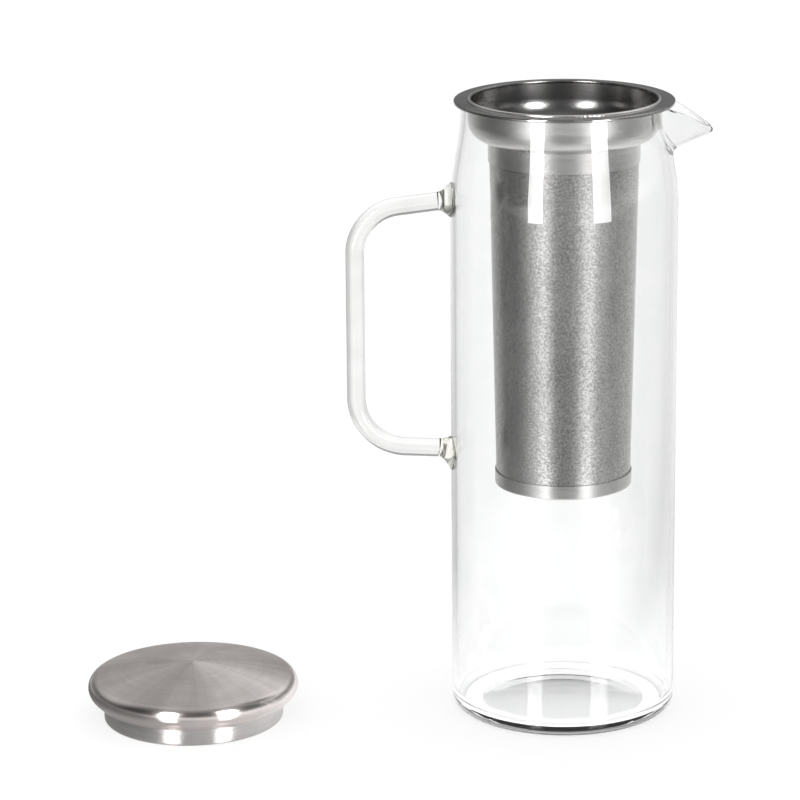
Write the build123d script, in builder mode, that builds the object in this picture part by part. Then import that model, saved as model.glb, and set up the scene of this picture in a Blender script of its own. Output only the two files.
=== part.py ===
from build123d import *
from math import asin, cos, radians, sin, tan
import os

# Cold brew coffee maker: a glass carafe with a fused rod handle and a pulled spout, a
# steel mesh filter hanging in its neck, and a domed steel lid lying beside it.
# Millimetres. The origin is the centre of the carafe's foot on the table, +Z is up, the
# handle points along -X and the spout along +X.

# ---------------------------------------------------------------- driving dimensions
# Carafe glass
body_radius = 47.5
rim_radius = 42.9            # outside of the neck at the rim
rim_height = 262.0
wall = 2.2
floor_thickness = 3.6
base_corner = 5.0            # outside rounding between wall and foot
inner_corner = 5.5
foot_width = 8.0             # flat ring that the carafe stands on
foot_recess = 1.6            # rise of the glass inside that ring
neck_height = 44.0           # below the rim, where the straight wall starts to draw in
shoulder_pull = 18.0         # how far each end of the shoulder keeps its direction
rim_bevel = 0.5              # ground edges of the rim and of the spout's lip
rim_slope = 0.7              # a rim face's normal rises at least this much

# Spout, a gutter pulled out of the neck
spout_reach = 61.4           # tip, from the carafe's axis
spout_tip_drop = 11.1        # tip below the rim
spout_tip_thickness = 2.2
spout_tip_half_width = 2.6
spout_root_reach = 36.0      # where the lips leave the round of the neck
spout_root_half_width = 23.0
spout_root_depth = 24.2      # underside below the rim, there
spout_flare = 0.65           # below 1 the lips bulge outwards on their way to the tip
spout_inner_end = 30.5       # where its form starts, inside the neck
spout_stations = 5
spout_wall = 1.8
spout_blend = 3.0
lip_start = 40.0             # from here the rim dips towards the tip
lip_ease = 1.25
lip_shares = (0, 0.15, 0.35, 0.6, 1)

# Rod handle
rod_diameter = 7.8
handle_reach = 91.3          # outermost side of the rod, from the carafe's axis
upper_arm_drop = 40.8        # rod's centre where it leaves its bead, below the rim
handle_span = 106.5          # from there to where it enters the lower bead
upper_arm_fall = 4.1         # the arms lean towards each other
lower_arm_rise = 1.9
upper_corner = 20.0
lower_corner = 22.0
bead_radius = 7.2            # flared glass on the wall
bead_length = 5.0
bead_waist = 0.35            # share of the flare left halfway along the bead
upper_bead_offset = 0.3      # bead's middle against the rod's
lower_bead_offset = -2.6

# Filter
neck_clearance = 0.7         # bowl to the inside of the neck
flange_radius = 45.9
flange_thickness = 1.4
flange_round = 0.5
sheet = 0.7
bowl_straight = 6.0          # upright part of the bowl, below the rim
bowl_corner = 9.6
collar_radius = 31.6
collar_drop = 8.4            # collar below the bowl's floor
collar_sheet = 0.5
clamp_sheet = 0.5
clamp_height = 7.0
mesh_wall = 0.4
mesh_foot_radius = 28.4
filter_length = 163.0        # below the rim
cap_height = 6.0
cap_sheet = 0.5
cap_round = 0.9
cap_floor_rise = 1.0
seam_width = 7.0
seam_thickness = 0.3
filter_seat = 0.02           # play between nested pieces of the filter

# Lid
lid_radius = 44.7
lid_height = 24.5
lid_edge_height = 14.0       # height of the widest circle
lid_edge_round = 5.0
lid_under_angle = 45.0       # how far the edge turns under
lid_lip_height = 8.0
lid_sheet = 0.8
mouth_play = 0.4             # skirt to the rolled edge of the bowl
skirt_overlap = 3.5          # top of the skirt, inside the dome's collar
bead_round = 1.1             # rolled bottom edge of the skirt
pan_recess = 1.8
pan_sheet = 0.7
lid_seat = 0.03              # play between skirt and dome
lid_position = (-158.8, -7.6)

# ---------------------------------------------------------------- derived values
rod_radius = rod_diameter / 2
handle_axis = handle_reach - rod_radius
bead_end = body_radius + bead_length
upper_arm_height = rim_height - upper_arm_drop
lower_arm_height = upper_arm_height - handle_span
shoulder_height = rim_height - neck_height
trim_height = rim_height + spout_root_reach
bowl_radius = rim_radius - wall - neck_clearance
bowl_inner = bowl_radius - sheet
bowl_mouth = bowl_radius - 2 * sheet    # inside of the bowl's rolled edge
bowl_turn = rim_height - bowl_straight
flange_top = rim_height + flange_thickness
bowl_floor = bowl_turn - bowl_corner
collar_top = bowl_floor + sheet
collar_bottom = bowl_floor - collar_drop
mesh_top_radius = collar_radius - collar_sheet - filter_seat
mesh_bottom = rim_height - filter_length + cap_floor_rise + cap_sheet
cap_bottom = rim_height - filter_length
cap_top = cap_bottom + cap_height
clamp_radius = mesh_top_radius - mesh_wall - filter_seat
skirt_radius = bowl_mouth - mouth_play

os.makedirs("parts", exist_ok=True)


def save(builder, name):
    """Label a finished piece and write its STEP file."""
    builder.part.label = name
    export_step(builder.part, f"parts/{name}.step")


# ---------------------------------------------------------------- carafe glass
def glass_outline(inset, floor, corner):
    """Half section of the carafe filled to its axis, with the walls moved in by inset."""
    radius = body_radius - inset
    neck = rim_radius - inset
    with BuildSketch() as outline:
        with BuildLine():
            Polyline((0, floor), (0, trim_height), (neck, trim_height), (neck, rim_height))
            Bezier(
                (neck, rim_height),
                (neck, rim_height - shoulder_pull),
                (radius, shoulder_height + shoulder_pull),
                (radius, shoulder_height),
            )
            Line((radius, shoulder_height), (radius, floor + corner))
            RadiusArc((radius, floor + corner), (radius - corner, floor), corner)
            Line((radius - corner, floor), (0, floor))
        make_face()
    return outline.sketch_local


def lip_height(x):
    """Height of the rim over the spout, which dips smoothly from lip_start to the tip."""
    along = max(x - lip_start, 0) / (spout_reach - lip_start)
    return rim_height - spout_tip_drop * along**lip_ease


def underside(x):
    """Height of the gutter's lowest line, straight from its root to its tip."""
    tip = rim_height - spout_tip_drop - spout_tip_thickness
    root = rim_height - spout_root_depth
    return tip + (root - tip) * (spout_reach - x) / (spout_reach - spout_root_reach)


def gutter_half_width(x):
    """Half the gutter's width at its lip."""
    full = spout_root_half_width - spout_tip_half_width
    along = (spout_reach - x) / (spout_reach - spout_root_reach)
    return spout_tip_half_width + full * along**spout_flare


def gutter(inset):
    """Solid form of the spout: half-round below its lip, its walls moved in by inset."""
    length = spout_reach - inset - spout_inner_end
    with BuildPart() as form:
        for station in range(spout_stations):
            x = spout_inner_end + length * station / (spout_stations - 1)
            depth = lip_height(x) - underside(x) - inset
            half_width = gutter_half_width(x + inset) - inset
            with BuildSketch(Plane.YZ.offset(x)):
                with Locations((0, lip_height(x))):
                    Ellipse(depth, half_width, rotation=90)
        loft()
    return form.part


def glass_form(inset, floor, corner, spout_inset):
    """Carafe filled solid, with the gutter blended into its neck."""
    with BuildPart() as form:
        with BuildSketch(Plane.XZ):
            add(glass_outline(inset, floor, corner))
        revolve(axis=Axis.Z)
        add(gutter(spout_inset))
        seam = form.edges().filter_by(
            lambda edge: edge.geom_type == GeomType.BSPLINE
            and edge.bounding_box().min.X > spout_inner_end
            and edge.bounding_box().max.X < body_radius
        )
        fillet(seam, spout_blend)
    return form.part


def lip_outline():
    """Everything above the rim and above the falling lip of the spout, seen from -Y."""
    spots = [lip_start + share * (spout_reach - lip_start) for share in lip_shares]
    tip_slope = -lip_ease * spout_tip_drop / (spout_reach - lip_start)
    with BuildSketch() as outline:
        with BuildLine():
            lip = Spline(
                [(x, lip_height(x)) for x in spots], tangents=[(1, 0), (1, tip_slope)]
            )
            outside = lip @ 1 + Vector(body_radius, body_radius * tip_slope)
            Polyline(
                lip @ 1,
                outside,
                (outside.X, trim_height + wall),
                (-outside.X, trim_height + wall),
                (-outside.X, rim_height),
                lip @ 0,
            )
        make_face()
    return outline.sketch_local


def border(faces):
    """Edges that bound exactly one of the faces."""
    edges = [edge for face in faces for edge in face.edges()]
    return [edge for edge in edges if sum(edge.is_same(other) for other in edges) == 1]


outer_glass = glass_form(0, 0, base_corner, 0)

with BuildPart() as carafe_body:
    add(outer_glass)
    add(glass_form(wall, floor_thickness, inner_corner, spout_wall), mode=Mode.SUBTRACT)
    # rim and lip of the spout
    with BuildSketch(Plane.XZ):
        add(lip_outline())
    extrude(amount=2 * body_radius, both=True, mode=Mode.SUBTRACT)
    rim_faces = carafe_body.faces().filter_by(
        lambda face: face.normal_at().Z > rim_slope
        and face.bounding_box().min.Z > rim_height - spout_tip_drop - wall
    )
    chamfer(border(rim_faces), rim_bevel)
    # shallow hollow under the foot
    with BuildSketch(Plane.XZ):
        with BuildLine():
            foot_inner = body_radius - base_corner - foot_width
            TangentArc((0, foot_recess), (foot_inner, 0), tangent=(1, 0))
            Polyline((foot_inner, 0), (0, 0), (0, foot_recess))
        make_face()
    revolve(axis=Axis.Z, mode=Mode.SUBTRACT)
save(carafe_body, "carafe_body")


# ---------------------------------------------------------------- handle
with BuildPart() as handle_rod:
    with BuildLine(Plane.XZ):
        FilletPolyline(
            (-bead_end, upper_arm_height),
            (-handle_axis, upper_arm_height - upper_arm_fall),
            (-handle_axis, lower_arm_height + lower_arm_rise),
            (-bead_end, lower_arm_height),
            radius=[upper_corner, lower_corner],
        )
    with BuildSketch(Plane.YZ.offset(-bead_end)):
        with Locations((0, upper_arm_height)):
            Circle(rod_radius)
    sweep(transition=Transition.ROUND)
save(handle_rod, "handle_rod")


def weld_bead(arm_height, offset):
    """Flared foot of the rod, shaped to the outside of the glass."""
    flare = bead_radius - rod_radius
    with BuildPart() as bead:
        for along, share in ((-1, 1), (0, 1), (0.5, bead_waist), (1, 0)):
            x = -body_radius - bead_length * along
            with BuildSketch(Plane.YZ.offset(x)):
                with Locations((0, arm_height + offset * share)):
                    Circle(rod_radius + flare * share)
        loft()
        add(outer_glass, mode=Mode.SUBTRACT)
    return bead


upper_bead = weld_bead(upper_arm_height, upper_bead_offset)
save(upper_bead, "handle_bead_upper")
lower_bead = weld_bead(lower_arm_height, lower_bead_offset)
save(lower_bead, "handle_bead_lower")


# ---------------------------------------------------------------- filter
def ring(outer, inner, bottom, top):
    """Plain sleeve about the carafe's axis."""
    with BuildPart() as sleeve:
        with BuildSketch(Plane.XY.offset(bottom)):
            Circle(outer)
            Circle(inner, mode=Mode.SUBTRACT)
        extrude(amount=top - bottom)
    return sleeve


with BuildPart() as filter_flange:
    add(ring(flange_radius, bowl_radius + filter_seat, rim_height, flange_top))
    fillet(filter_flange.edges(), flange_round)
save(filter_flange, "filter_flange")

with BuildPart() as filter_bowl:
    with BuildSketch(Plane.XZ):
        with BuildLine():
            turn = bowl_radius - bowl_corner
            across = sheet * sin(radians(45))
            roll_side = (bowl_inner - across, flange_top + across)
            Polyline((0, bowl_floor + sheet), (0, bowl_floor), (turn, bowl_floor))
            RadiusArc((turn, bowl_floor), (bowl_radius, bowl_turn), -bowl_corner)
            Line((bowl_radius, bowl_turn), (bowl_radius, flange_top))
            ThreePointArc((bowl_radius, flange_top), roll_side, (bowl_inner, flange_top - sheet))
            Line((bowl_inner, flange_top - sheet), (bowl_inner, bowl_turn))
            RadiusArc((bowl_inner, bowl_turn), (turn, bowl_floor + sheet), bowl_corner - sheet)
            Line((turn, bowl_floor + sheet), (0, bowl_floor + sheet))
        make_face()
    revolve(axis=Axis.Z)
    with Locations((0, 0, bowl_floor)):
        Hole(collar_radius + filter_seat)
save(filter_bowl, "filter_bowl")

filter_collar = ring(collar_radius, collar_radius - collar_sheet, collar_bottom, collar_top)
save(filter_collar, "filter_collar")


def mesh_outline(outside, thickness, bottom, top):
    """Half section of a sheet that follows the tapering tube, a distance outside it."""
    with BuildSketch() as outline:
        with BuildLine():
            Polyline(
                (mesh_foot_radius + outside, bottom),
                (mesh_foot_radius + outside, cap_top),
                (mesh_top_radius + outside, collar_bottom),
                (mesh_top_radius + outside, top),
                (mesh_top_radius + outside + thickness, top),
                (mesh_top_radius + outside + thickness, collar_bottom),
                (mesh_foot_radius + outside + thickness, cap_top),
                (mesh_foot_radius + outside + thickness, bottom),
                close=True,
            )
        make_face()
    return outline.sketch_local


with BuildPart() as filter_mesh:
    with BuildSketch(Plane.XZ):
        add(mesh_outline(-mesh_wall, mesh_wall, mesh_bottom, collar_top))
    revolve(axis=Axis.Z)
save(filter_mesh, "filter_mesh")

filter_clamp_ring = ring(
    clamp_radius, clamp_radius - clamp_sheet, collar_top - clamp_height, collar_top
)
save(filter_clamp_ring, "filter_clamp_ring")

with BuildPart() as filter_seam_strip:
    with BuildSketch(Plane.XZ):
        with BuildLine():
            low = (mesh_foot_radius + filter_seat, cap_top + filter_seat)
            high = (mesh_top_radius + filter_seat, collar_bottom - filter_seat)
            Polyline(
                low,
                high,
                (high[0] + seam_thickness, high[1]),
                (low[0] + seam_thickness, low[1]),
                close=True,
            )
        make_face()
    revolve(axis=Axis.Z)
    with Locations((0, body_radius / 2, rim_height / 2)):
        Box(seam_width, body_radius, rim_height, mode=Mode.INTERSECT)
save(filter_seam_strip, "filter_seam_strip")

with BuildPart() as filter_base_cap:
    with BuildSketch(Plane.XZ):
        with BuildLine():
            cap_inner = mesh_foot_radius + filter_seat
            cap_outer = cap_inner + cap_sheet
            floor_top = mesh_bottom - filter_seat
            Polyline(
                (0, floor_top),
                (0, floor_top - cap_sheet),
                (cap_inner - cap_round, floor_top - cap_sheet),
                (cap_inner - cap_round, cap_bottom),
                (cap_outer, cap_bottom),
                (cap_outer, cap_top),
                (cap_inner, cap_top),
                (cap_inner, floor_top),
                close=True,
            )
        make_face()
    revolve(axis=Axis.Z)
    lower_edges = filter_base_cap.edges().filter_by(GeomType.CIRCLE).filter_by(
        lambda edge: edge.center().Z < cap_bottom + filter_seat and edge.radius > cap_inner
    )
    fillet(lower_edges, cap_round)
save(filter_base_cap, "filter_base_cap")


# ---------------------------------------------------------------- lid
lid_plane = Plane(origin=(*lid_position, 0), x_dir=(1, 0, 0), z_dir=(0, -1, 0))
lid_axis = Axis((*lid_position, 0), (0, 0, 1))


def dome_outline(inset):
    """Half section of the solid dome: crown, tight edge and turned-under flank."""
    under = radians(lid_under_angle)
    crown_rise = lid_height - lid_edge_height
    edge_centre = lid_radius - lid_edge_round
    crown_radius = (edge_centre**2 + crown_rise**2 - lid_edge_round**2) / (
        2 * (crown_rise - lid_edge_round)
    )
    lean = asin(edge_centre / (crown_radius - lid_edge_round))
    edge = lid_edge_round - inset
    shoulder = (edge_centre + edge * sin(lean), lid_edge_height + edge * cos(lean))
    turn = (edge_centre + edge * cos(under), lid_edge_height - edge * sin(under))
    lip = lid_lip_height + inset
    with BuildSketch() as outline:
        with BuildLine():
            TangentArc((0, lid_height - inset), shoulder, tangent=(1, 0))
            TangentArc(turn, shoulder, tangent=(sin(under), cos(under)))
            Polyline(
                turn,
                (turn[0] - (turn[1] - lip) * tan(under), lip),
                (0, lip),
                (0, lid_height - inset),
            )
        make_face()
    return outline.sketch_local


with BuildPart() as lid_dome:
    with BuildSketch(lid_plane):
        collar_inner = skirt_radius + lid_seat
        add(dome_outline(0))
        add(dome_outline(lid_sheet), mode=Mode.SUBTRACT)
        with Locations((0, lid_lip_height)):
            Rectangle(
                collar_inner,
                lid_sheet,
                align=(Align.MIN, Align.MIN),
                mode=Mode.SUBTRACT,
            )
        with Locations((collar_inner, lid_lip_height)):
            Rectangle(lid_sheet, skirt_overlap, align=(Align.MIN, Align.MIN))
    revolve(axis=lid_axis)
save(lid_dome, "lid_dome")

with BuildPart() as lid_skirt_pan:
    with BuildSketch(lid_plane):
        with BuildLine():
            bead_inner = skirt_radius - 2 * bead_round
            skirt_top = lid_lip_height + skirt_overlap
            ThreePointArc(
                (bead_inner, bead_round),
                (skirt_radius - bead_round, 0),
                (skirt_radius, bead_round),
            )
            Polyline(
                (skirt_radius, bead_round),
                (skirt_radius, skirt_top),
                (skirt_radius - pan_sheet, skirt_top),
                (skirt_radius - pan_sheet, pan_recess + pan_sheet),
                (0, pan_recess + pan_sheet),
                (0, pan_recess),
                (bead_inner, pan_recess),
                (bead_inner, bead_round),
            )
        make_face()
    revolve(axis=lid_axis)
save(lid_skirt_pan, "lid_skirt_pan")
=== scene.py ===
from math import cos, pi, radians, sin

import bpy
from mathutils import Matrix, Vector


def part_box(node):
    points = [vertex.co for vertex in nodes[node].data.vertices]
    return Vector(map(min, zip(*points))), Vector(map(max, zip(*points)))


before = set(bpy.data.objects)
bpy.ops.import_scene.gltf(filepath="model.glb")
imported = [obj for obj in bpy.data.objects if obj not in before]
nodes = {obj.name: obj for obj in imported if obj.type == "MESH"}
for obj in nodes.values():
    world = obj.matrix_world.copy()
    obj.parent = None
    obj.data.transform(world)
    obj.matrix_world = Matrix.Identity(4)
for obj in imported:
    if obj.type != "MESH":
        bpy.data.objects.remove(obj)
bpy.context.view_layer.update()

# Lengths are in metres and angles in degrees. An azimuth is 0 in front of the carafe (-Y)
# and grows towards the spout (+X).

# Camera
CAMERA_AZIMUTH = -5.0
CAMERA_DISTANCE = 1.519
CAMERA_HEIGHT = 0.5526
CAMERA_PAN = 2.603           # from the carafe towards the lid
CAMERA_TILT = 15.386         # below level
CAMERA_ROLL = -0.513
CAMERA_CLIP = (0.05, 30.0)
LENS_MM = 167.8
SENSOR_MM = 36.0

# Surface detail: noise scales per metre, bump depths, and how noise is drawn out along the axis
GLASS_WAVES = 26.0
GLASS_CLOUDS = 90.0
GLASS_DEPTH = 0.002
GLASS_DRAWN_OUT = (1.0, 1.0, 0.35)
SPUN_LINES = 5200.0
SPUN_BANDS = 700.0
SPUN_SMEARS = 38.0
SPUN_DEPTH = 0.00008
LINE_DRIFT = 0.0006          # how far its noise moves on along a line in a radian
BAND_DRIFT = 0.002
POLISH_SMEARS = 60.0
POLISH_GRAIN = 2400.0
POLISH_DEPTH = 0.00005
GAUZE_GRAIN = 1300.0
GAUZE_CLOUDS = 60.0
GAUZE_DEPTH = 0.00010
GAUZE_DRAWN_OUT = (1.0, 1.0, 0.4)
GAUZE_RADIUS = 0.0298        # of the mesh tube, about halfway down
WIRE_PITCH = 0.0005

# Lid: its crown is brushed above this height and polished below it
LID_EDGE = 0.0184
LID_EDGE_FADE = (-0.0008, 0.0004)
LID_EDGE_ROUGHNESS = 0.19
# The lid's fan and the fine rays in it are painted sheen
LID_PAINTED_RAYS = 7.0               # scale of the fine rays in the fan
# The fan of painted sheen on the lid's brushed crown, which stands in for the sheen of its brushing:
# turns about its centre (0 at +X, 0.75 at the front) and brightness
LID_PAINTED_FAN = (
    (0.00, 1.00), (0.08, 0.96), (0.22, 0.68), (0.34, 0.70), (0.53, 0.96),
    (0.60, 0.84), (0.70, 0.53), (0.80, 0.69), (0.90, 1.00),
)

# Studio
WHITE = (1.0, 1.0, 1.0)
FLOOR_SIZE = 8.0
FLOOR_GREY = 0.30            # what the sky lights, so that the object's shadow stays
FLOOR_GLOW = 0.74            # and what the table adds, to come out white
FLOOR_MIRROR = 0.20          # how much of the strips the table mirrors into the object
FLOOR_MIRROR_ROUGHNESS = 0.05
MIRROR_REACH = (0.24, 0.32)  # between these radii that falls to its far share
MIRROR_FAR = 0.12
STRIPS = (
    # azimuth, distance, width, bottom, top, radiance
    (-33.5, 1.3, 0.34, 0.01, 1.1, 16.0),
    (33.0, 1.3, 0.41, 0.01, 1.1, 16.0),
)
NEAR_TABLE = (0.07, 0.22)    # metal and glass see white inside, and the ramps beyond
TABLE_GAIN = 1.5             # on both ramps
# What metal and glass mirror of the table, painted light and shade that it glows with: pools of light
# below the strips and darker stretches between. Turns about the carafe (0 and 1 at the back, 0.25 at
# the spout, 0.5 at the front) and brightness
TABLE_PAINTED_GLOW = (
    (0.00, 0.70), (0.05, 0.66), (0.10, 0.55), (0.164, 0.44), (0.20, 0.40),
    (0.258, 0.26), (0.30, 0.20), (0.345, 0.24), (0.37, 0.50), (0.397, 0.80),
    (0.425, 0.55), (0.47, 0.22), (0.514, 0.16), (0.555, 0.24), (0.585, 0.62),
    (0.611, 0.85), (0.64, 0.50), (0.672, 0.24), (0.70, 0.12), (0.77, 0.08),
    (0.82, 0.12), (0.87, 0.31), (0.93, 0.43), (0.97, 0.62), (1.00, 0.70),
)
# The painted glow that shows through glass alone is paler, so that it stays clear from every side
TABLE_THROUGH = (
    (0.00, 0.70), (0.02, 0.67), (0.045, 0.63), (0.065, 0.48), (0.15, 0.46), (0.20, 0.62),
    (0.30, 0.70), (0.60, 0.70), (0.80, 0.66), (0.87, 0.52), (0.90, 0.66), (1.00, 0.70),
)
FAR_TABLE = (-1.0, -1.3, 2.0)  # from here to there, in front, the mirrored table doubles
# The studio above the table: sine of the elevation and brightness, mirrored from behind
# and in front of the object, and through glass alone
ROOM_BEHIND = ((0.0, 0.60), (0.12, 0.30), (0.30, 0.22), (0.45, 0.75), (0.7, 1.0), (1.0, 0.55))
ROOM_BEFORE = ((0.0, 0.80), (0.10, 0.30), (0.25, 0.10), (0.6, 0.08), (0.9, 0.25), (1.0, 0.55))
ROOM_THROUGH = ((0.0, 1.0), (0.30, 1.0), (0.45, 0.30), (1.0, 0.35))
ROOM_TURN = (-0.15, 0.35)    # where, along +Y, the front gives way to the back
ROOM_SIDES = (0.9, 0.45)     # brightness in the middle, and what the spout's side adds to it


# ------------------------------------------------------------------ node helpers
class Tree:
    """A material's or the world's node tree, with short calls to fill it."""

    def __init__(self, owner):
        owner.use_nodes = True
        self.tree = owner.node_tree
        self.tree.nodes.clear()

    def put(self, socket, value):
        if isinstance(value, bpy.types.NodeSocket):
            self.tree.links.new(value, socket)
        elif isinstance(value, tuple) and socket.type == "RGBA" and len(value) == 3:
            socket.default_value = (*value, 1)
        else:
            socket.default_value = value

    def node(self, kind, inputs=(), **settings):
        node = self.tree.nodes.new("ShaderNode" + kind)
        for key, value in settings.items():
            setattr(node, key, value)
        for key, value in dict(inputs).items():
            self.put(node.inputs[key], value)
        return node

    def math(self, operation, *values, clamp=False):
        node = self.node("Math", operation=operation, use_clamp=clamp)
        for socket, value in zip(node.inputs, values):
            self.put(socket, value)
        return node.outputs[0]

    def weighted(self, *terms):
        """The sum of each term's value times its weight."""
        total, *others = (self.math("MULTIPLY", value, weight) for value, weight in terms)
        for other in others:
            total = self.math("ADD", total, other)
        return total

    def spread(self, base, factor, middle, amount):
        """The base, plus the amount times how far the factor is above the middle."""
        beyond = self.math("SUBTRACT", factor, middle)
        return self.math("ADD", base, self.math("MULTIPLY", beyond, amount))

    def between(self, value, low, high, start=0.0, end=1.0):
        """Start below the low value, end above the high one, and a slope between."""
        return self.node("MapRange", {0: value, 1: low, 2: high, 3: start, 4: end}).outputs[0]

    def ramp(self, factor, stops):
        node = self.node("ValToRGB", {"Fac": factor})
        elements = node.color_ramp.elements
        while len(elements) < len(stops):
            elements.new(0.5)
        for element, (at, value) in zip(elements, stops):
            element.position = at
            element.color = (value, value, value, 1)
        return node.outputs[0]

    def mix(self, factor, one, two):
        node = self.node("Mix", {"Factor": factor}, data_type="RGBA")
        self.put(node.inputs[6], one)
        self.put(node.inputs[7], two)
        return node.outputs[2]

    def noise(self, vector, scale, detail=2.0, rough=0.5):
        inputs = {"Vector": vector, "Scale": scale, "Detail": detail, "Roughness": rough}
        return self.node("TexNoise", inputs).outputs["Fac"]

    def scaled(self, vector, scale):
        node = self.node("VectorMath", {0: vector, 1: scale}, operation="MULTIPLY")
        return node.outputs[0]

    def grey(self, value):
        return self.vector(value, value, value)

    def vector(self, x, y, z):
        return self.node("CombineXYZ", {0: x, 1: y, 2: z}).outputs[0]

    def parts(self, vector):
        return self.node("SeparateXYZ", {0: vector}).outputs

    def place(self):
        """Where on its object a point is."""
        return self.node("TexCoord").outputs["Object"]

    def circle(self, angle, level=3.7):
        """The angle as a point on a circle in the noise's space, where noise closes on itself."""
        return self.vector(self.math("COSINE", angle), self.math("SINE", angle), level)

    def turn(self, angle):
        """An angle in radians as a share of a full turn, from 0 to 1."""
        return self.math("FRACT", self.math("DIVIDE", angle, 2 * pi))

    def around(self, centre=(0.0, 0.0)):
        """Angle, radius and height of a point about an upright axis, in radians and metres."""
        moved = self.node("VectorMath", {0: self.place(), 1: (*centre, 0.0)}, operation="SUBTRACT")
        x, y, z = self.parts(moved.outputs[0])
        squares = self.math("ADD", self.math("POWER", x, 2.0), self.math("POWER", y, 2.0))
        return self.math("ARCTAN2", y, x), self.math("SQRT", squares), z

    def bump(self, height, strength, distance):
        inputs = {"Height": height, "Strength": strength, "Distance": distance}
        return self.node("Bump", inputs).outputs[0]

    def output(self, shader, kind="OutputMaterial"):
        self.node(kind, {"Surface": shader})


def material(name):
    made = bpy.data.materials.new(name)
    return made, Tree(made)


def principled(tree, **inputs):
    names = {key.replace("_", " "): value for key, value in inputs.items()}
    tree.output(tree.node("BsdfPrincipled", names).outputs[0])


# ------------------------------------------------------------------ materials
def glass(name, colour, dark, waviness, bending=1.47):
    """Clear borosilicate glass with the faint waves and clouds of hand-worked ware."""
    made, tree = material(name)
    place = tree.place()
    waves = tree.noise(tree.scaled(place, GLASS_DRAWN_OUT), GLASS_WAVES, 1.0)
    clouds = tree.noise(place, GLASS_CLOUDS)
    principled(
        tree,
        Base_Color=tree.mix(tree.ramp(clouds, ((0.35, 0.0), (0.75, 1.0))), colour, dark),
        Roughness=0.0,
        IOR=bending,
        Transmission_Weight=1.0,
        Normal=tree.bump(waves, waviness, GLASS_DEPTH),
    )
    return made


def painted_shade_inside(tree, colour, share):
    """Painted shade: the colour, times the share on faces that look towards the carafe's axis."""
    geometry = tree.node("NewGeometry").outputs
    outwards = tree.scaled(geometry["Position"], (1.0, 1.0, 0.0))
    inputs = {0: geometry["True Normal"], 1: outwards}
    facing = tree.node("VectorMath", inputs, operation="DOT_PRODUCT").outputs["Value"]
    inward = tree.math("LESS_THAN", facing, 0.0)
    return tree.mix(inward, colour, tree.scaled(colour, (share,) * 3))


def spun_steel(
    name, bright, dull, roughness, anisotropy, centre=(0.0, 0.0), groove=0.25, inside_shade=None, painted_fan=None
):
    """Steel with fine circular tool lines about an upright axis, and faint smears. Inside shade
    is painted shade that darkens the faces that look inwards. A painted fan is the lid's:
    its painted sheen above the lid's edge, which is polished itself."""
    made, tree = material(name)
    angle, radius, height = tree.around(centre)
    across = tree.math("ADD", radius, height)
    line_place = tree.vector(across, tree.math("MULTIPLY", angle, LINE_DRIFT), 0.0)
    band_place = tree.vector(across, tree.math("MULTIPLY", angle, BAND_DRIFT), 0.0)
    lines = tree.noise(line_place, SPUN_LINES, 3.0)
    bands = tree.noise(band_place, SPUN_BANDS)
    smears = tree.noise(tree.place(), SPUN_SMEARS, 4.0, 0.6)
    mottled = tree.weighted((bands, 0.35), (smears, 0.65))
    colour = tree.mix(tree.ramp(mottled, ((0.35, 0.0), (0.65, 1.0))), dull, bright)
    worn = tree.spread(roughness, smears, 0.5, 0.14)
    if painted_fan:
        low, high = (LID_EDGE + fade for fade in LID_EDGE_FADE)
        brushed = tree.between(height, low, high)
        # Painted sheen: light and dark wedges with fine rays, multiplied into the crown's colour
        rays = tree.ramp(tree.noise(tree.circle(angle), LID_PAINTED_RAYS, 3.0, 0.6), ((0.35, 0.90), (0.65, 1.0)))
        painted_sheen_tone = tree.scaled(tree.ramp(tree.turn(angle), painted_fan), rays)
        colour = tree.mix(brushed, colour, tree.scaled(colour, painted_sheen_tone))
        worn = tree.spread(LID_EDGE_ROUGHNESS, worn, LID_EDGE_ROUGHNESS, brushed)
        groove = tree.math("MULTIPLY", brushed, groove)
    # Painted shade on the faces that look inwards
    if inside_shade:
        colour = painted_shade_inside(tree, colour, inside_shade)
    principled(
        tree,
        Base_Color=colour,
        Metallic=1.0,
        Roughness=worn,
        Anisotropic=anisotropy,
        Anisotropic_Rotation=0.25,
        Tangent=tree.node("Tangent", direction_type="RADIAL", axis="Z").outputs[0],
        Normal=tree.bump(lines, groove, SPUN_DEPTH),
    )
    return made


def polished_steel(name, bright, dull, roughness):
    """Steel with a mirror's polish, smeared by hands and water."""
    made, tree = material(name)
    place = tree.place()
    smears = tree.noise(place, POLISH_SMEARS, 5.0, 0.65)
    grain = tree.noise(place, POLISH_GRAIN)
    principled(
        tree,
        Base_Color=tree.mix(tree.ramp(smears, ((0.38, 0.0), (0.62, 1.0))), dull, bright),
        Metallic=1.0,
        Roughness=tree.spread(roughness, smears, 0.4, 0.16),
        Normal=tree.bump(grain, 0.08, POLISH_DEPTH),
    )
    return made


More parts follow.
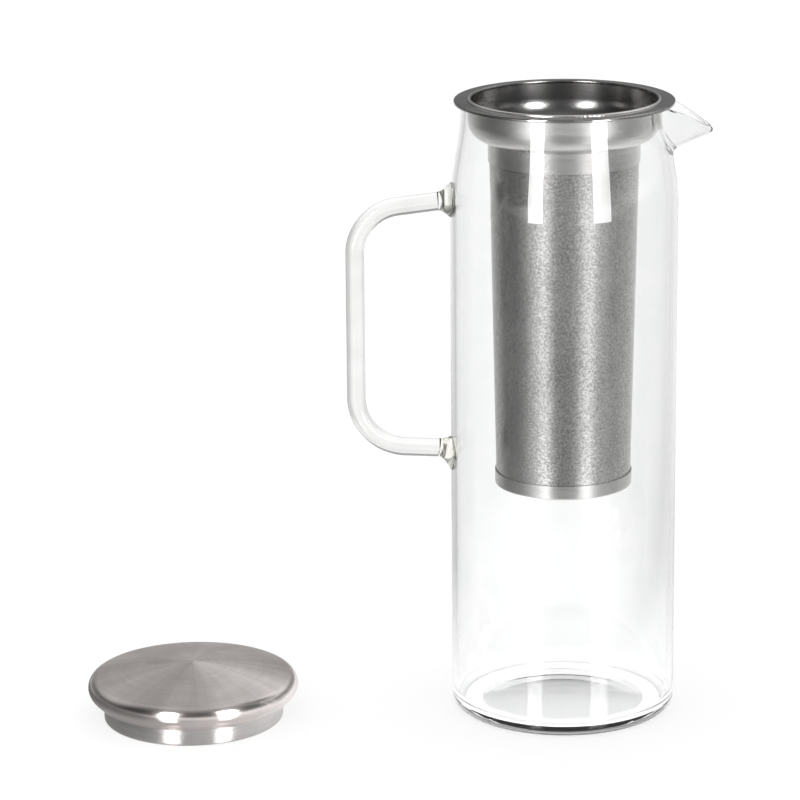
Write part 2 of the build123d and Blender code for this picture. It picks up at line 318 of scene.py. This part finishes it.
def gauze(name, wire, gap_shade_and_grain, roughness):
    """Fine plain weave of round wire wrapped about the carafe's axis."""
    made, tree = material(name)
    angle, _, height = tree.around()
    warp = tree.math("MULTIPLY", angle, round(2 * pi * GAUZE_RADIUS / WIRE_PITCH))
    weft = tree.math("MULTIPLY", height, 2 * pi / WIRE_PITCH)
    over = tree.math("MULTIPLY", tree.math("SINE", warp), tree.math("SINE", weft))
    ridges = (
        tree.math("ABSOLUTE", tree.math("COSINE", tree.math("MULTIPLY", wires, 0.5)))
        for wires in (warp, weft)
    )
    weave = tree.weighted((over, 0.25), (tree.math("ADD", *ridges), 0.5))
    place = tree.place()
    grain = tree.noise(place, GAUZE_GRAIN, 2.0, 0.6)
    clouds = tree.noise(tree.scaled(place, GAUZE_DRAWN_OUT), GAUZE_CLOUDS, 4.0, 0.6)
    # The weave's share of the tone is painted shade in the gaps between the wires; grain and clouds vary
    # it at random
    tone = tree.weighted((weave, 0.12), (grain, 0.64), (clouds, 0.24))
    relief = tree.weighted((weave, 0.6), (grain, 0.8))
    principled(
        tree,
        Base_Color=tree.mix(tree.ramp(tone, ((0.33, 0.0), (0.63, 1.0))), gap_shade_and_grain, wire),
        Metallic=1.0,
        Roughness=tree.spread(roughness, clouds, 0.0, 0.12),
        Normal=tree.bump(relief, 0.16, GAUZE_DEPTH),
    )
    return made


# ------------------------------------------------------------------ studio
def ray_kinds(tree):
    """Factors for the camera's rays, for those that metal or glass sends on, and for
    those that no surface has mirrored."""
    rays = tree.node("LightPath").outputs
    camera = rays["Is Camera Ray"]
    sent = tree.math("MAXIMUM", rays["Is Glossy Ray"], rays["Is Transmission Ray"])
    unmirrored = tree.math("LESS_THAN", rays["Glossy Depth"], 0.5)
    return camera, tree.math("SUBTRACT", sent, camera, clamp=True), unmirrored


def painted_table_glow(tree, place, reach, unmirrored):
    """The table's painted glow for metal and glass: white near the carafe, painted light and shade
    beyond.
    """
    x, y, _ = tree.parts(place)
    turn = tree.turn(tree.math("ARCTAN2", x, y))
    start, end, brighter = FAR_TABLE
    growth = tree.between(y, start, end, 1.0, brighter)
    mirrored = tree.scaled(tree.ramp(turn, TABLE_PAINTED_GLOW), tree.grey(growth))
    around = tree.mix(unmirrored, mirrored, tree.ramp(turn, TABLE_THROUGH))
    far = tree.between(reach, *NEAR_TABLE)
    return tree.mix(far, WHITE, tree.scaled(around, (TABLE_GAIN,) * 3))


def floor_paint():
    """White paint that takes the object's shadow and faintly mirrors the strips. It glows white
    for the camera, and with painted light and shade for metal and glass.
    """
    made, tree = material("floor_paint")
    camera, sent, unmirrored = ray_kinds(tree)
    place = tree.node("NewGeometry").outputs["Position"]
    reach = tree.node("VectorMath", {0: place}, operation="LENGTH").outputs["Value"]
    # For metal and glass the table glows with painted light and shade
    shown = tree.mix(sent, WHITE, painted_table_glow(tree, place, reach, unmirrored))
    lit = tree.math("MULTIPLY", tree.math("MAXIMUM", camera, sent), FLOOR_GLOW)
    fading = tree.between(reach, *MIRROR_REACH, 1.0, MIRROR_FAR)
    share = tree.math("MULTIPLY", tree.math("MULTIPLY", sent, fading), FLOOR_MIRROR)
    glow = tree.node("Emission", {"Color": shown, "Strength": lit})
    paint = tree.node("BsdfDiffuse", {"Color": tree.scaled(shown, (FLOOR_GREY,) * 3)})
    mirror = tree.node(
        "BsdfGlossy", {"Color": tree.grey(share), "Roughness": FLOOR_MIRROR_ROUGHNESS}
    )
    both = tree.node("AddShader", {0: glow.outputs[0], 1: paint.outputs[0]})
    tree.output(tree.node("AddShader", {0: both.outputs[0], 1: mirror.outputs[0]}).outputs[0])
    return made


def make_floor():
    half = FLOOR_SIZE / 2
    mesh = bpy.data.meshes.new("floor")
    corners = [(-half, -half, 0), (half, -half, 0), (half, half, 0), (-half, half, 0)]
    mesh.from_pydata(corners, [], [(0, 1, 2, 3)])
    floor = bpy.data.objects.new("floor", mesh)
    bpy.context.scene.collection.objects.link(floor)
    mesh.materials.append(floor_paint())


def make_world():
    world = bpy.data.worlds.new("studio")
    bpy.context.scene.world = world
    tree = Tree(world)
    _, sent, unmirrored = ray_kinds(tree)
    x, y, z = tree.parts(tree.node("TexCoord").outputs["Generated"])
    middle, spout_side = ROOM_SIDES
    side = tree.math("ADD", middle, tree.math("MULTIPLY", x, spout_side))
    behind = tree.between(y, *ROOM_TURN)
    mirrored = tree.mix(behind, tree.ramp(z, ROOM_BEFORE), tree.ramp(z, ROOM_BEHIND))
    mirrored = tree.scaled(mirrored, tree.grey(side))
    room = tree.mix(unmirrored, mirrored, tree.ramp(z, ROOM_THROUGH))
    shown = tree.mix(sent, WHITE, room)
    tree.output(tree.node("Background", {"Color": shown}).outputs[0], "OutputWorld")


def make_strip(name, azimuth, distance, width, bottom, top, radiance):
    """An upright strip softbox that faces the carafe's axis, for mirrored rays alone."""
    data = bpy.data.lights.new(name, "AREA")
    data.shape = "RECTANGLE"
    data.size, data.size_y = width, top - bottom
    data.energy = radiance * width * (top - bottom) * pi
    lamp = bpy.data.objects.new(name, data)
    bpy.context.scene.collection.objects.link(lamp)
    turn = radians(azimuth)
    lamp.matrix_world = (
        Matrix.Translation((sin(turn) * distance, -cos(turn) * distance, (top + bottom) / 2))
        @ Matrix.Rotation(turn, 4, "Z")
        @ Matrix.Rotation(radians(90), 4, "X")
    )
    lamp.visible_camera = False
    lamp.visible_transmission = False
    lamp.visible_diffuse = False


def make_camera():
    data = bpy.data.cameras.new("camera")
    data.lens = LENS_MM
    data.sensor_width = SENSOR_MM
    data.clip_start, data.clip_end = CAMERA_CLIP
    camera = bpy.data.objects.new("camera", data)
    bpy.context.scene.collection.objects.link(camera)
    turn = radians(CAMERA_AZIMUTH)
    place = Vector((sin(turn) * CAMERA_DISTANCE, -cos(turn) * CAMERA_DISTANCE, CAMERA_HEIGHT))
    camera.matrix_world = (
        Matrix.Translation(place)
        @ Matrix.Rotation(turn + radians(CAMERA_PAN), 4, "Z")
        @ Matrix.Rotation(radians(90 - CAMERA_TILT), 4, "X")
        @ Matrix.Rotation(radians(CAMERA_ROLL), 4, "Z")
    )
    bpy.context.scene.camera = camera


# ------------------------------------------------------------------ dress the part
lid_low, lid_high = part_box("lid_dome")
lid_centre = tuple((lid_low[axis] + lid_high[axis]) / 2 for axis in (0, 1))

clear = glass("clear_glass", colour=(0.995, 0.998, 0.996), dark=(0.975, 0.985, 0.980), waviness=0.05)
rod_glass = glass("rod_glass", colour=(0.905, 0.908, 0.900), dark=(0.825, 0.828, 0.818), waviness=0.14)
weld = glass(
    "weld_glass", colour=(0.992, 0.992, 0.975), dark=(0.90, 0.885, 0.76), waviness=0.6, bending=1.3
)
# Painted dark reflection: the flange's steel is coloured dark for the dark studio that its polish
# mirrors
flange_painted_dark = polished_steel(
    "polished_steel", bright=(0.40, 0.39, 0.385), dull=(0.24, 0.235, 0.23), roughness=0.07
)
# The bowl's faces that look inwards carry painted shade
bowl = spun_steel(
    "spun_steel", bright=(0.80, 0.79, 0.78), dull=(0.66, 0.65, 0.64), roughness=0.24, anisotropy=0.3,
    inside_shade=0.35,
)
band = spun_steel(
    "band_steel", bright=(0.74, 0.73, 0.72), dull=(0.60, 0.59, 0.58), roughness=0.26, anisotropy=0.4
)
# The dark end of the mesh's tone is painted shade in the gaps and random grain
woven = gauze("woven_steel", wire=(0.70, 0.69, 0.68), gap_shade_and_grain=(0.27, 0.265, 0.26), roughness=0.18)
# The crown carries a painted sheen: a fan of light and dark wedges
crown = spun_steel(
    "lid_steel", bright=(0.88, 0.825, 0.805), dull=(0.70, 0.64, 0.62), roughness=0.44, anisotropy=0.7,
    centre=lid_centre, groove=0.18, painted_fan=LID_PAINTED_FAN,
)
skirt = spun_steel(
    "skirt_steel", bright=(0.72, 0.70, 0.69), dull=(0.58, 0.56, 0.55), roughness=0.24, anisotropy=0.4,
    centre=lid_centre,
)
dress = {
    "carafe_body": clear,
    "handle_rod": rod_glass,
    "handle_bead_upper": weld,
    "handle_bead_lower": weld,
    "filter_flange": flange_painted_dark,
    "filter_bowl": bowl,
    "filter_collar": band,
    "filter_mesh": woven,
    "filter_clamp_ring": band,
    "filter_seam_strip": band,
    "filter_base_cap": band,
    "lid_dome": crown,
    "lid_skirt_pan": skirt,
}
for name, surface in dress.items():
    nodes[name].data.materials.clear()
    nodes[name].data.materials.append(surface)

make_floor()
make_world()
for number, strip in enumerate(STRIPS):
    make_strip(f"strip_{number}", *strip)
make_camera()
bpy.context.scene.view_settings.view_transform = "Standard"
